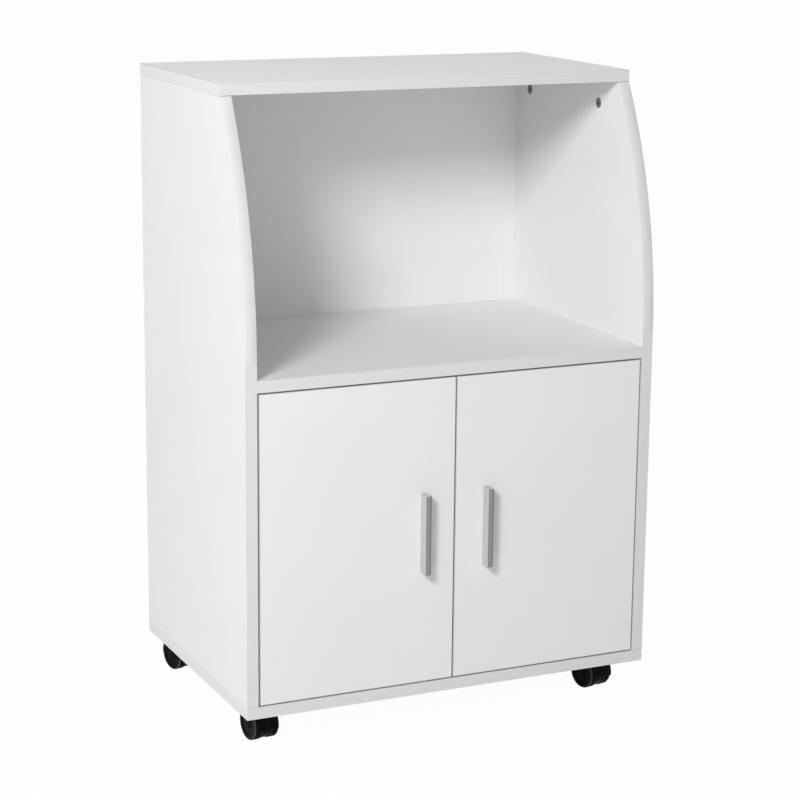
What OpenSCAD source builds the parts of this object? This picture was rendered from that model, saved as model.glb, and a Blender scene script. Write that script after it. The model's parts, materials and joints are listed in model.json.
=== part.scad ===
// Microwave cart: a white board carcass on four twin-wheel casters.
// An open bay with curved side fronts stands over a cupboard with two inset doors.
// Millimetres. The floor is z = 0, the doors face -Y, and x = 0 is the middle of the cart.

/* [Cart] */
// Overall width
cart_w = 600; // [520:1:760]
// Depth of the carcass, from the door faces to the rear edges
cart_d = 400; // [340:1:520]
// Overall height, from the floor to the top surface
cart_h = 880; // [780:1:1000]
// Thickness of the faced boards of the carcass
board_t = 16; // [15:0.5:20]
// Height of the shelf's top surface above the floor
shelf_top_h = 509; // [440:1:580]
// How far the top panel's front edge lies behind the door faces
front_recess = 86; // [40:1:120]
// Height above the shelf at which the side fronts start to curve back
curve_start = 20; // [5:1:120]

/* [Back panel] */
// Thickness of the back panel
back_t = 3; // [2.5:0.5:6]
// Distance from the carcass's rear edges to the back panel
back_inset = 12; // [6:1:25]
// Depth of the grooves that hold the back panel
groove_depth = 6; // [3:0.5:8]

/* [Doors] */
// Thickness of the doors
door_t = 16; // [15:0.5:20]
// Clearance of a door's front corner from the side panel as the door swings
swing_clear = 0.63; // [0.4:0.01:2]
// Gap between the two doors
centre_gap = 3; // [2:0.1:6]
// Gap above and below a door
head_gap = 2.5; // [1.5:0.1:5]
// Angle to which a door opens
open_angle = 100; // [60:1:103]

/* [Handles] */
// Length of a handle
handle_len = 110; // [104:1:160]
// Width of a handle across its front
handle_w = 8; // [7:0.5:14]
// How far a handle stands out from the door
handle_depth = 18; // [14:0.5:30]
// Height of the rounded crown on the handle's front
handle_crown = 1.6; // [0.5:0.1:3]
// Distance between the two handle screws
handle_centres = 96; // [64:1:96]
// Distance from the door's free edge to the handle's middle
handle_edge = 45; // [20:1:90]
// Diameter of a handle screw
handle_screw_d = 4; // [3:0.5:5]
// Length of screw that goes into the handle
handle_screw_grip = 9; // [6:0.5:11]

/* [Hinges] */
// Distance from a door's top or bottom edge to the middle of its hinge
hinge_from_edge = 90; // [60:1:120]
// Diameter of the hinge cup
cup_d = 35; // [33:0.5:36]
// Depth of the hinge cup in the door
cup_depth = 12; // [11:0.1:12.5]
// Wall of the pressed hinge cup
cup_wall = 1; // [0.8:0.1:1.2]
// Distance from the door's hinge edge to the middle of the cup
cup_edge = 22.5; // [22:0.5:25]
// Distance from the door's hinge edge to the hinge pin
pin_edge = 13; // [12.5:0.1:14]
// Distance from the door's rear face to the hinge pin
pin_depth = 7.8; // [7.5:0.1:8.2]
// Diameter of the hinge pin
pin_d = 3; // [2.5:0.1:3.2]
// Thickness of the bent hinge arm
arm_t = 1.5; // [1.2:0.1:1.8]
// Width of the hinge arm
arm_w = 14; // [12:0.5:15]
// Distance from the door's rear face to the line of plate screws
plate_setback = 37; // [32:1:45]
// Distance between the two screws of a hinge plate
plate_pitch = 32; // [28:1:40]
// Distance between the two screws of a hinge cup
cup_pitch = 48; // [46:1:52]

/* [Casters] */
// Diameter of a caster wheel
wheel_d = 46; // [36:1:48]
// Width over the two wheels of one caster
caster_w = 37; // [34:1:42]
// Width of the hood over the two wheels
hood_w = 32; // [28:1:34]
// Gap between a caster's hood and its plate
hood_drop = 0.8; // [0.5:0.1:12]
// Distance from the carcass's sides to a swivel axis
caster_side_inset = 43; // [42:1:70]
// Distance from the carcass's front and rear to a swivel axis
caster_end_inset = 47; // [47:1:70]
// Distance from the swivel axis to the wheel axle
caster_trail = 16; // [12:1:18]
// Thickness of the web between the two wheels
web_t = 11; // [10:0.5:13]
// Height of the web's lowest point above the floor
web_lift = 1; // [1:0.5:6]
// Diameter of the wheel axle
axle_d = 5; // [4:0.5:6]
// Diameter of the swivel pin
kingpin_d = 6; // [5:0.5:7]
// Radius that rounds the outer edge of a wheel
wheel_round = 2.5; // [2:0.5:6]
// Side of the square caster plate
plate_side = 44; // [40:1:50]
// Distance between the screws of a caster plate
plate_screws = 32; // [28:1:36]

/* [Fasteners] */
// Diameter of a cam lock
cam_d = 15; // [14:0.5:16]
// Depth of a cam lock in its board
cam_depth = 12; // [11:0.5:12.5]
// Distance from a joint to the middle of its cam lock
cam_reach = 34; // [28:1:40]
// Distance from a panel's front or rear edge to its first joint bolt
joint_inset = 55; // [45:1:75]
// Length of bolt or dowel that goes into the face of a board
face_depth = 11; // [9:0.5:12]
// Diameter of the wooden dowels
dowel_d = 8; // [6:0.5:8]
// Length of a wooden dowel
dowel_len = 30; // [25:1:35]
// Distance between a joint's bolt and its dowel
dowel_pitch = 32; // [25:1:40]
// Diameter of the wood screws
screw_d = 3.5; // [3:0.1:4]

/* [Hidden] */

// Facets of small round parts, of large ones and of the side panels' long arc
$fn = 48;
fn_large = 96;
fn_arc = 720;
// Length by which a cut runs past the face that it opens
eps = 1;
// Radial clearance of hardware in its hole and of a running fit
fit = 0.05;
// Clearance between a board and the groove or board that it meets
board_fit = 0.1;

// Stack of one caster, from the wheel to the underside of the bottom panel
wheel_r = wheel_d / 2;
hood_gap = 1.2;
hood_t = 2;
caster_plate_t = 2;
caster_h = wheel_d + hood_gap + hood_t + hood_drop + caster_plate_t;

// Main planes of the carcass
side_x = cart_w / 2 - board_t;
floor_z = caster_h + board_t;
top_z = cart_h - board_t;
shelf_z = shelf_top_h - board_t;
front_y = -(cart_d - handle_depth) / 2;
rear_y = front_y + cart_d;
back_y = rear_y - back_inset - back_t;

// Front curve of the side panels: an arc that leaves the straight front without a kink
curve_z = shelf_top_h + curve_start;
curve_rise = top_z - curve_z;
curve_r = (curve_rise * curve_rise + front_recess * front_recess) / (2 * front_recess);

// Doors: the gap at the hinge side lets the front corner swing round the hinge pin
pin_front = door_t - pin_depth;
side_gap = sqrt(pin_edge * pin_edge + pin_front * pin_front) - pin_edge + swing_clear;
door_z0 = floor_z + head_gap;
door_z1 = shelf_z - head_gap;
door_x0 = -side_x + side_gap;
door_x1 = -centre_gap / 2;
door_back_y = front_y + door_t;

// Joints between the boards
cam_bore = cam_d / 2;
cam_floor = 0.3;
bolt_thread_r = 2.5;
bolt_shank_r = 2.2;
bolt_collar_r = 3.4;
bolt_collar_len = 3;
bolt_head_r = 3.2;
bolt_head_len = 3;
bolt_bore_r = 4;
head_room = 0.5;
cross_len = 7;
cross_w = 1.4;
cross_depth = 2.4;
top_joint_y = [front_y + front_recess + joint_inset, rear_y - joint_inset];
base_joint_y = [front_y + joint_inset, rear_y - joint_inset];

// Wood screws
screw_head_r = 3.4;
screw_head_h = 1.8;
screw_cross = 4;
screw_cross_w = 1;
screw_cross_depth = 1.2;
screw_bite = 10;

// Hinges, drawn round the pin axis of the left door
pin_r = pin_d / 2;
cup_r = cup_d / 2;
cup_x = cup_edge - pin_edge;
door_back = pin_depth;
cup_floor = door_back - cup_depth;
cup_play = 0.3;
flange_t = 1.2;
flange_rim = 2;
wing_r = 6.5;
wing_shift = 6;
wing_x = cup_x + wing_shift;
ear_w = 8;
ear_gap = 1;
ear_h = 6;
pin_len = 26;
eye_play = 0.3;
eye_r_max = 2.8;
eye_r = min(eye_r_max, cup_depth - pin_depth - cup_wall - eye_play);
wall_x = side_gap + pin_edge;
plate_t = 2;
rail_h = 5;
web_x = -wall_x + plate_t + rail_h;
lip_t = 1.2;
lip_h = 3.5;
arm_clear = 0.6;
swing_r = sqrt(pin_edge * pin_edge + door_back * door_back);
rim_y = door_back + flange_t;
rim_x = pin_edge - (cup_edge - cup_r - flange_rim);
rim_r = sqrt(rim_x * rim_x + rim_y * rim_y);
edge_reach = swing_r * cos(180 - atan2(door_back, pin_edge) - open_angle);
rim_reach = rim_r * cos(180 - atan2(rim_y, rim_x) - open_angle);
leg_x = max(edge_reach, rim_reach) + 2 * arm_clear;
leg_y = swing_r + arm_clear;
plate_y = door_back + plate_setback;
rail_front = 22;
rail_rear = 16;
clamp_screw_y = -12;
adjust_screw_y = 9;
arm_screw_y = [plate_y + clamp_screw_y, plate_y + adjust_screw_y];
arm_screw_r = 2;
arm_screw_len = 5.5;
plate_wing_w = 14;
plate_wing_end = 7;
pin_x = door_x0 + pin_edge;
pin_y = front_y + pin_front;
hinge_z = [door_z0 + hinge_from_edge, door_z1 - hinge_from_edge];

// Handles
handle_x = door_x1 - handle_edge;
handle_z = (door_z0 + door_z1) / 2;
handle_screw_r = handle_screw_d / 2;
handle_hole_play = 0.5;
handle_hole_r = handle_screw_r + handle_hole_play;
handle_head_r = 4;
handle_head_h = 2.4;
crown_r = (handle_w * handle_w / 4 + handle_crown * handle_crown) / (2 * handle_crown);

// Magnetic catch under the shelf
magnet_w = 12;
magnet_h = 9;
magnet_d = 8;
strike_r = 5.5;
strike_t = 1.2;
strike_pin_r = 1.5;
strike_pin_len = 8;
strike_edge = 8;
strike_below = 6.1;
strike_air = 0.3;
strike_x = centre_gap / 2 + strike_edge;
strike_z = door_z1 - strike_below;
catch_y = door_back_y + strike_t + strike_air;
catch_wall = 1.5;
catch_depth = 14;
catch_h = head_gap + strike_below + magnet_h / 2 + catch_wall;
catch_ear_h = 3;
catch_ear = 9;
catch_block_w = 2 * (strike_x + magnet_w / 2 + catch_wall);
catch_w = catch_block_w + 2 * catch_ear;
catch_screw_x = (catch_block_w + catch_w) / 4;

// Casters, drawn round the swivel axis with z = 0 at the underside of the bottom panel
axle_r = axle_d / 2;
kingpin_r = kingpin_d / 2;
axle_z = wheel_r - caster_h;
pocket_r = wheel_r + hood_gap;
hood_r = pocket_r + hood_t;
turret_r = 9;
wheel_gap = 0.5;
wheel_in = web_t / 2 + wheel_gap;
wheel_out = caster_w / 2;
hub_r = 8;
web_r = wheel_r - web_lift;
kingpin_len = 22;
kingpin_foot = 1;
axle_cover = 3;
axle_half = wheel_out - axle_cover;
axle_play = 0.4;
face_rim = 6.5;
face_dish_r = wheel_r - face_rim;
face_dish = 1;
face_hub_r = 7;
rim_t = 4;
back_dish = 4;
hood_tail = 4;
caster_x = cart_w / 2 - caster_side_inset;
caster_y = [front_y + caster_end_inset, rear_y - caster_end_inset];
// Turn of each caster as it stands: front left, front right, rear left, rear right
caster_turn = [6, 12, 14, 9];

// Colours
white = "#f1f1ef";
board_edge = "#e9e9e7";
zinc = "#8c8d8f";
nickel = "#b9babb";
silver = "#b4b5b6";
beech = "#d8b98a";
black = "#1d1d1e";
grey = "#6a6b6d";

// ---- helpers ----

module along_y(r, y0, y1, fn = fn_large) {
  translate([0, y0, 0])
    rotate([-90, 0, 0])
      cylinder(r = r, h = y1 - y0, $fn = fn);
}

module along_x(r, x0, x1, fn = $fn) {
  translate([x0, 0, 0])
    rotate([0, 90, 0])
      cylinder(r = r, h = x1 - x0, $fn = fn);
}

module along_z(r, z0, z1, fn = $fn) {
  translate([0, 0, z0])
    cylinder(r = r, h = z1 - z0, $fn = fn);
}

// A box between two corners
module box(low, high) {
  translate(low)
    cube(high - low);
}

module both_sides() {
  children();
  mirror([1, 0, 0])
    children();
}

// Side -1 is the left as drawn, side 1 its mirror image on the right
module on_side(side) {
  if (side < 0)
    children();
  else
    mirror([1, 0, 0])
      children();
}

// Cross-shaped driver recess cut down from z = 0
module cross_recess(len, w, depth) {
  for (turn = [0, 90])
    rotate([0, 0, turn])
      box([-len / 2, -w / 2, -depth], [len / 2, w / 2, eps]);
}

// Round-headed screw: its head stands on z = 0 and its shank runs down
module pan_screw(shank_r, shank_len, head_r, head_h) {
  difference() {
    union() {
      along_z(head_r, 0, head_h);
      along_z(shank_r, -shank_len, eps / 2);
    }
    translate([0, 0, head_h])
      cross_recess(screw_cross, screw_cross_w, screw_cross_depth);
  }
}

// ---- joints between the boards ----
// Each joint frame has +X into the face of the mating board and +Z out of the
// face that carries the cam lock. $inward points to the middle of the board.

module left_top_joints() {
  for (i = [0, 1]) {
    $inward = i == 0 ? -1 : 1;
    translate([-side_x - board_t / 2, top_joint_y[i], top_z])
      rotate([0, 90, 0])
        rotate([0, 0, 180])
          children();
  }
}

module left_base_joints() {
  for (i = [0, 1]) {
    $inward = i == 0 ? 1 : -1;
    translate([-side_x - board_t / 2, base_joint_y[i], floor_z])
      rotate([0, 90, 0])
        children();
  }
}

module left_shelf_joints() {
  for (i = [0, 1]) {
    $inward = i == 0 ? 1 : -1;
    translate([-side_x, base_joint_y[i], shelf_z + board_t / 2])
      rotate([0, 180, 0])
        children();
  }
}

module all_joints() {
  both_sides() {
    left_top_joints()
      children();
    left_base_joints()
      children();
    left_shelf_joints()
      children();
  }
}

// Holes in the board whose edge meets the joint
module edge_holes() {
  translate([-cam_reach, 0, 0])
    along_z(cam_bore, board_t / 2 - cam_depth - cam_floor, board_t / 2 + eps);
  along_x(bolt_bore_r, -cam_reach, eps);
  translate([0, $inward * dowel_pitch, 0])
    along_x(dowel_d / 2, face_depth - dowel_len - cam_floor, eps);
}

// Holes in the board whose face meets the joint
module face_holes() {
  along_x(bolt_thread_r, -eps, face_depth);
  translate([0, $inward * dowel_pitch, 0])
    along_x(dowel_d / 2, -eps, face_depth);
}

module cam_lock() {
  z_top = board_t / 2;
  head_half = bolt_head_r + head_room;
  translate([-cam_reach, 0, 0])
    difference() {
      along_z(cam_bore - fit, z_top - cam_depth, z_top);
      box([-head_half, -head_half, -head_half], [head_half - head_room, head_half, head_half]);
      box([0, -bolt_shank_r - head_room, -bolt_shank_r - head_room],
          [cam_d, bolt_shank_r + head_room, bolt_shank_r + head_room]);
      translate([0, 0, z_top])
        cross_recess(cross_len, cross_w, cross_depth);
    }
}

module cam_bolt() {
  along_x(bolt_thread_r - fit, -eps, face_depth - fit);
  along_x(bolt_collar_r, -bolt_collar_len, -fit);
  along_x(bolt_shank_r, -cam_reach, -eps);
  translate([-cam_reach, 0, 0])
    along_x(bolt_head_r, -bolt_head_len / 2, bolt_head_len / 2);
}

module wood_dowel() {
  translate([0, $inward * dowel_pitch, 0])
    along_x(dowel_d / 2 - fit, face_depth - dowel_len, face_depth - fit);
}

module cam_locks() {
  color(zinc)
    all_joints()
      cam_lock();
}

module cam_bolts() {
  color(nickel)
    all_joints()
      cam_bolt();
}

module wood_dowels() {
  color(beech)
    all_joints()
      wood_dowel();
}

// ---- carcass ----

// Groove for the back panel between two corners in x and z
module back_groove(x0, x1, z0, z1) {
  box([x0, back_y - board_fit, z0], [x1, back_y + back_t + board_fit, z1]);
}

module top_panel() {
  color(white)
    difference() {
      box([-cart_w / 2, front_y + front_recess, top_z], [cart_w / 2, rear_y, cart_h]);
      back_groove(-side_x - groove_depth, side_x + groove_depth, top_z - eps, top_z + groove_depth);
      both_sides()
        left_top_joints()
          face_holes();
    }
}

module bottom_panel() {
  color(white)
    difference() {
      box([-cart_w / 2, front_y, caster_h], [cart_w / 2, rear_y, floor_z]);
      back_groove(-side_x - groove_depth, side_x + groove_depth, floor_z - groove_depth, floor_z + eps);
      both_sides()
        left_base_joints()
          face_holes();
      all_casters()
        caster_screw_places()
          along_z(screw_d / 2, -eps, screw_bite);
    }
}

// Outline of a side panel in y and z
module side_outline() {
  translate([front_y, floor_z])
    square([cart_d, curve_z - floor_z]);
  intersection() {
    translate([front_y - eps, curve_z])
      square([cart_d + eps, curve_rise]);
    translate([front_y + curve_r, curve_z])
      circle(r = curve_r, $fn = fn_arc);
  }
}

module side_panel(side) {
  color(white)
    on_side(side)
      difference() {
        translate([-cart_w / 2, 0, 0])
          rotate([90, 0, 90])
            linear_extrude(height = board_t)
              side_outline();
        back_groove(-side_x - groove_depth, -side_x + eps, floor_z - eps, top_z + eps);
        left_top_joints()
          edge_holes();
        left_base_joints()
          edge_holes();
        left_shelf_joints()
          face_holes();
        for (i = [0, 1])
          at_hinge(i)
            plate_screw_places()
              along_z(screw_d / 2, -screw_bite - plate_t, eps);
      }
}

module middle_shelf() {
  color(white)
    difference() {
      box([-side_x, front_y, shelf_z], [side_x, back_y - board_fit, shelf_top_h]);
      both_sides()
        left_shelf_joints()
          edge_holes();
      catch_screw_places()
        along_z(screw_d / 2, -eps, screw_bite);
    }
}

module back_panel() {
  reach = groove_depth - board_fit;
  color(board_edge)
    box([-side_x - reach, back_y, floor_z - reach], [side_x + reach, back_y + back_t, top_z + reach]);
}

// ---- doors and handles ----

module door(side) {
  color(white)
    on_side(side)
      difference() {
        box([door_x0, front_y, door_z0], [door_x1, door_back_y, door_z1]);
        for (i = [0, 1])
          at_hinge(i) {
            translate([cup_x, 0, 0])
              along_y(cup_r, cup_floor - cup_play, door_back + eps);
            cup_screw_places()
              along_z(screw_d / 2, -screw_bite, eps);
          }
        handle_screw_places()
          along_y(handle_hole_r, -door_t - eps, eps, $fn);
        translate([-strike_x, door_back_y, strike_z])
          along_y(strike_pin_r + fit, -strike_pin_len - fit, eps, $fn);
      }
}

// The two screw axes of the left handle, on the door's rear face
module handle_screw_places() {
  for (dz = [-handle_centres / 2, handle_centres / 2])
    translate([handle_x, door_back_y, handle_z + dz])
      children();
}

module handle_section() {
  translate([-handle_w / 2, handle_crown - handle_depth])
    square([handle_w, handle_depth - handle_crown]);
  intersection() {
    translate([-handle_w / 2, -handle_depth])
      square([handle_w, handle_crown + eps]);
    translate([0, crown_r - handle_depth])
      circle(r = crown_r, $fn = fn_large);
  }
}

module handle(side) {
  color(silver)
    on_side(side)
      difference() {
        translate([handle_x, front_y, handle_z - handle_len / 2])
          linear_extrude(height = handle_len)
            handle_section();
        handle_screw_places()
          along_y(handle_screw_r + fit, -door_t - handle_screw_grip - 2 * eps, -door_t + eps, $fn);
      }
}

module handle_screws(side) {
  color(nickel)
    on_side(side)
      handle_screw_places()
        rotate([-90, 0, 0])
          pan_screw(handle_screw_r, door_t + handle_screw_grip, handle_head_r, handle_head_h);
}

// ---- hinges ----
// Drawn for the left door round its pin axis, with +X to the middle of the cart

module at_hinge(i) {
  translate([pin_x, pin_y, hinge_z[i]])
    children();
}

// The two screws of a cup: +Z leaves the door's rear face
module cup_screw_places() {
  for (dz = [-cup_pitch / 2, cup_pitch / 2])
    translate([wing_x, door_back, dz])
      rotate([-90, 0, 0])
        children();
}

// The two screws of a mounting plate: +Z leaves the side panel
module plate_screw_places() {
  for (dz = [-plate_pitch / 2, plate_pitch / 2])
    translate([plate_t - wall_x, plate_y, dz])
      rotate([0, 90, 0])
        children();
}

module cup_flange() {
  difference() {
    union() {
      translate([cup_x, 0, 0])
        along_y(cup_r + flange_rim, door_back, rim_y);
      for (dz = [-cup_pitch / 2, cup_pitch / 2])
        translate([wing_x, 0, dz])
          along_y(wing_r, door_back, rim_y);
      box([wing_x - wing_r, door_back, -cup_pitch / 2], [wing_x + wing_r, rim_y, cup_pitch / 2]);
    }
    cup_screw_places()
      along_z(screw_d / 2, -eps, flange_t + eps);
  }
}

// The bowl's wall and floor, one wall thick
module cup_bowl(r) {
  translate([cup_x, 0, 0])
    along_y(r, cup_floor, door_back + eps / 2);
}

module hinge_cup(side, i) {
  inner_r = cup_r - fit - cup_wall;
  ear_z = arm_w / 2 + ear_gap;
  color(nickel)
    on_side(side)
      at_hinge(i)
        difference() {
          union() {
            difference() {
              union() {
                cup_bowl(cup_r - fit);
                cup_flange();
              }
              translate([cup_x, 0, 0])
                along_y(inner_r, cup_floor + cup_wall, rim_y + eps);
            }
            intersection() {
              cup_bowl(inner_r + cup_wall / 2);
              for (dz = [-1, 1])
                translate([0, cup_floor + cup_wall / 2, dz * (ear_z + cup_r / 2)])
                  translate([-ear_w / 2, 0, -cup_r / 2])
                    cube([ear_w, ear_h, cup_r]);
            }
          }
          along_z(pin_r, -pin_len / 2, pin_len / 2);
        }
}

module hinge_pins(side) {
  color(grey)
    on_side(side)
      for (i = [0, 1])
        at_hinge(i)
          along_z(pin_r, -pin_len / 2, pin_len / 2);
}

// Bent strip: an eye round the pin, a gooseneck round the door's edge and a channel on the plate
module hinge_arm(side, i) {
  half = arm_w / 2;
  arm_end = plate_y + rail_rear;
  color(nickel)
    on_side(side)
      at_hinge(i)
        difference() {
          union() {
            along_z(eye_r, -half, half);
            box([0, -arm_t / 2, -half], [leg_x + arm_t, arm_t / 2, half]);
            box([leg_x, -arm_t / 2, -half], [leg_x + arm_t, leg_y + arm_t, half]);
            box([web_x, leg_y, -half], [leg_x + arm_t, leg_y + arm_t, half]);
            box([web_x, leg_y, -half], [web_x + arm_t, arm_end, half]);
            for (z = [-half, half - lip_t])
              box([web_x - lip_h, leg_y, z], [web_x + eps / 2, arm_end, z + lip_t]);
          }
          along_z(pin_r + fit, -half - eps, half + eps);
          arm_screw_places()
            along_z(arm_screw_r + fit, -arm_t - eps, eps);
        }
}

// The clamp and adjusting screws of an arm: +Z leaves the arm's face
module arm_screw_places() {
  for (y = arm_screw_y)
    translate([web_x + arm_t, y, 0])
      rotate([0, 90, 0])
        children();
}

module hinge_plate(side, i) {
  rail_half = arm_w / 2 - lip_t - board_fit;
  wing_z = plate_pitch / 2 + plate_wing_end;
  color(nickel)
    on_side(side)
      at_hinge(i)
        difference() {
          union() {
            box([-wall_x, plate_y - plate_wing_w / 2, -wing_z],
                [plate_t - wall_x, plate_y + plate_wing_w / 2, wing_z]);
            box([-wall_x, plate_y - rail_front, -rail_half], [web_x, plate_y + rail_rear, rail_half]);
          }
          plate_screw_places()
            along_z(screw_d / 2, -plate_t - eps, eps);
          arm_screw_places()
            along_z(arm_screw_r + fit, -arm_screw_len - eps / 2, eps);
        }
}

module hinge_plate_screws() {
  color(grey)
    both_sides()
      for (i = [0, 1])
        at_hinge(i)
          plate_screw_places()
            pan_screw(screw_d / 2 - fit, screw_bite + plate_t - eps, screw_head_r, screw_head_h);
}

module hinge_arm_screws() {
  color(grey)
    both_sides()
      for (i = [0, 1])
        at_hinge(i)
          arm_screw_places()
            pan_screw(arm_screw_r, arm_screw_len, screw_head_r, screw_head_h);
}

module cup_screws(side) {
  color(grey)
    on_side(side)
      for (i = [0, 1])
        at_hinge(i)
          cup_screw_places()
            translate([0, 0, flange_t])
              pan_screw(screw_d / 2 - fit, screw_bite + flange_t - eps, screw_head_r, screw_head_h);
}

// ---- magnetic catch ----

// The two catch screws: +Z runs up into the shelf
module catch_screw_places() {
  for (x = [-catch_screw_x, catch_screw_x])
    translate([x, catch_y + catch_depth / 2, shelf_z])
      children();
}

module door_catch() {
  color(white)
    difference() {
      union() {
        box([-catch_block_w / 2, catch_y, shelf_z - catch_h],
            [catch_block_w / 2, catch_y + catch_depth, shelf_z]);
        box([-catch_w / 2, catch_y, shelf_z - catch_ear_h],
            [catch_w / 2, catch_y + catch_depth, shelf_z]);
      }
      catch_magnet_blocks(fit, eps);
      catch_screw_places()
        along_z(screw_d / 2, -catch_ear_h - eps, eps);
    }
}

// The two magnets, behind the strikes, grown by a clearance and run out of the block's face
module catch_magnet_blocks(grow, run_out) {
  for (x = [-strike_x, strike_x])
    box([x - magnet_w / 2 - grow, catch_y - run_out, strike_z - magnet_h / 2 - grow],
        [x + magnet_w / 2 + grow, catch_y + magnet_d + grow, strike_z + magnet_h / 2 + grow]);
}

module catch_magnets() {
  color(grey)
    catch_magnet_blocks(0, 0);
}

module catch_screws() {
  color(grey)
    catch_screw_places()
      rotate([180, 0, 0])
        translate([0, 0, catch_ear_h])
          pan_screw(screw_d / 2 - fit, screw_bite + catch_ear_h - eps, screw_head_r, screw_head_h);
}

module catch_strike(side) {
  color(nickel)
    on_side(side)
      translate([-strike_x, door_back_y, strike_z]) {
        along_y(strike_r, 0, strike_t, $fn);
        along_y(strike_pin_r, -strike_pin_len, eps / 2, $fn);
      }
}

// ---- casters ----

// Swivel axis of one caster, turned as it stands; end 0 is the front, 1 the rear
module at_caster(side, end, turned = true) {
  i = 2 * end + (side < 0 ? 0 : 1);
  translate([side * caster_x, caster_y[end], caster_h])
    rotate([0, 0, turned ? caster_turn[i] : 0])
      children();
}

module all_casters() {
  for (side = [-1, 1], end = [0, 1])
    at_caster(side, end, false)
      children();
}

// The four screws of a caster plate: +Z runs up into the bottom panel
module caster_screw_places() {
  for (x = [-plate_screws / 2, plate_screws / 2], y = [-plate_screws / 2, plate_screws / 2])
    translate([x, y, 0])
      children();
}

// Countersunk head below z = 0, grown by a clearance
module sunk_head(grow) {
  translate([0, 0, -caster_plate_t])
    cylinder(r1 = screw_head_r + grow, r2 = screw_d / 2 + grow - fit, h = screw_head_h);
}

module caster_plate(side, end) {
  color(nickel)
    at_caster(side, end, false)
      difference() {
        union() {
          box([-plate_side / 2, -plate_side / 2, -caster_plate_t], [plate_side / 2, plate_side / 2, 0]);
          along_z(kingpin_r, -caster_plate_t - kingpin_len, -caster_plate_t / 2);
        }
        caster_screw_places() {
          sunk_head(fit);
          along_z(screw_d / 2, -caster_plate_t - eps, eps);
        }
      }
}

module caster_screws() {
  color(grey)
    all_casters()
      caster_screw_places()
        difference() {
          union() {
            sunk_head(0);
            along_z(screw_d / 2 - fit, -caster_plate_t / 2, screw_bite - fit);
          }
          translate([0, 0, -caster_plate_t])
            mirror([0, 0, 1])
              cross_recess(screw_cross, screw_cross_w, screw_cross_depth);
        }
}

// Web between the wheels, hood over them and turret round the swivel pin
module caster_fork(side, end) {
  half = hood_w / 2;
  color(black)
    at_caster(side, end)
      difference() {
        union() {
          intersection() {
            translate([0, caster_trail, axle_z])
              along_x(hood_r, -half, half, fn_large);
            box([-half, caster_trail - hood_r - eps, axle_z - hood_tail],
                [half, caster_trail + hood_r + eps, -caster_plate_t - hood_drop]);
          }
          along_z(turret_r, axle_z, -caster_plate_t - hood_drop);
          translate([0, caster_trail, axle_z])
            along_x(web_r, -web_t / 2, web_t / 2, fn_large);
        }
        for (s = [-1, 1])
          translate([0, caster_trail, axle_z])
            along_x(pocket_r, s < 0 ? -half - eps : web_t / 2, s < 0 ? -web_t / 2 : half + eps, fn_large);
        translate([0, caster_trail, axle_z])
          along_x(axle_r + fit, -half, half);
        along_z(kingpin_r + fit, -caster_plate_t - kingpin_len - kingpin_foot, eps);
      }
}

module wheel_axle(side, end) {
  color(nickel)
    at_caster(side, end)
      translate([0, caster_trail, axle_z])
        along_x(axle_r, -axle_half, axle_half);
}

// Half section of the wheel on the +X side: radius across, distance from the web up
module wheel_section() {
  width = wheel_out - wheel_in;
  difference() {
    union() {
      square([wheel_r, width - wheel_round]);
      square([wheel_r - wheel_round, width]);
      translate([wheel_r - wheel_round, width - wheel_round])
        circle(r = wheel_round);
    }
    square([axle_r + fit, axle_half + axle_play - wheel_in]);
    translate([face_hub_r, width - face_dish])
      square([face_dish_r - face_hub_r, face_dish + eps]);
    translate([hub_r, -eps])
      square([wheel_r - hub_r - rim_t, back_dish + eps]);
  }
}

// Lie 1 is the wheel on the caster's own +X side, lie -1 the one on its -X side
module caster_wheel(side, end, lie) {
  color(black)
    at_caster(side, end)
      translate([0, caster_trail, axle_z])
        mirror([lie < 0 ? 1 : 0, 0, 0])
          translate([wheel_in, 0, 0])
            rotate([0, 90, 0])
              rotate_extrude($fn = fn_large)
                wheel_section();
}

// ---- the cart ----

top_panel();
side_panel(-1);  // left_side_panel
side_panel(1);  // right_side_panel
bottom_panel();
middle_shelf();
back_panel();
cam_locks();
cam_bolts();
wood_dowels();
door(-1);  // left_door
door(1);  // right_door
handle(-1);  // left_handle
handle(1);  // right_handle
handle_screws(-1);  // left_handle_screws
handle_screws(1);  // right_handle_screws
hinge_cup(-1, 1);  // left_upper_hinge_cup
hinge_cup(-1, 0);  // left_lower_hinge_cup
hinge_cup(1, 1);  // right_upper_hinge_cup
hinge_cup(1, 0);  // right_lower_hinge_cup
hinge_pins(-1);  // left_hinge_pins
hinge_pins(1);  // right_hinge_pins
hinge_arm(-1, 1);  // left_upper_hinge_arm
hinge_arm(-1, 0);  // left_lower_hinge_arm
hinge_arm(1, 1);  // right_upper_hinge_arm
hinge_arm(1, 0);  // right_lower_hinge_arm
hinge_plate(-1, 1);  // left_upper_hinge_plate
hinge_plate(-1, 0);  // left_lower_hinge_plate
hinge_plate(1, 1);  // right_upper_hinge_plate
hinge_plate(1, 0);  // right_lower_hinge_plate
hinge_plate_screws();
hinge_arm_screws();
cup_screws(-1);  // left_cup_screws
cup_screws(1);  // right_cup_screws
door_catch();
catch_magnets();
catch_screws();
catch_strike(-1);  // left_catch_strike
catch_strike(1);  // right_catch_strike
caster_plate(-1, 0);  // front_left_caster_plate
caster_plate(1, 0);  // front_right_caster_plate
caster_plate(-1, 1);  // rear_left_caster_plate
caster_plate(1, 1);  // rear_right_caster_plate
caster_fork(-1, 0);  // front_left_caster_fork
caster_fork(1, 0);  // front_right_caster_fork
caster_fork(-1, 1);  // rear_left_caster_fork
caster_fork(1, 1);  // rear_right_caster_fork
wheel_axle(-1, 0);  // front_left_axle
wheel_axle(1, 0);  // front_right_axle
wheel_axle(-1, 1);  // rear_left_axle
wheel_axle(1, 1);  // rear_right_axle
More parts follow.
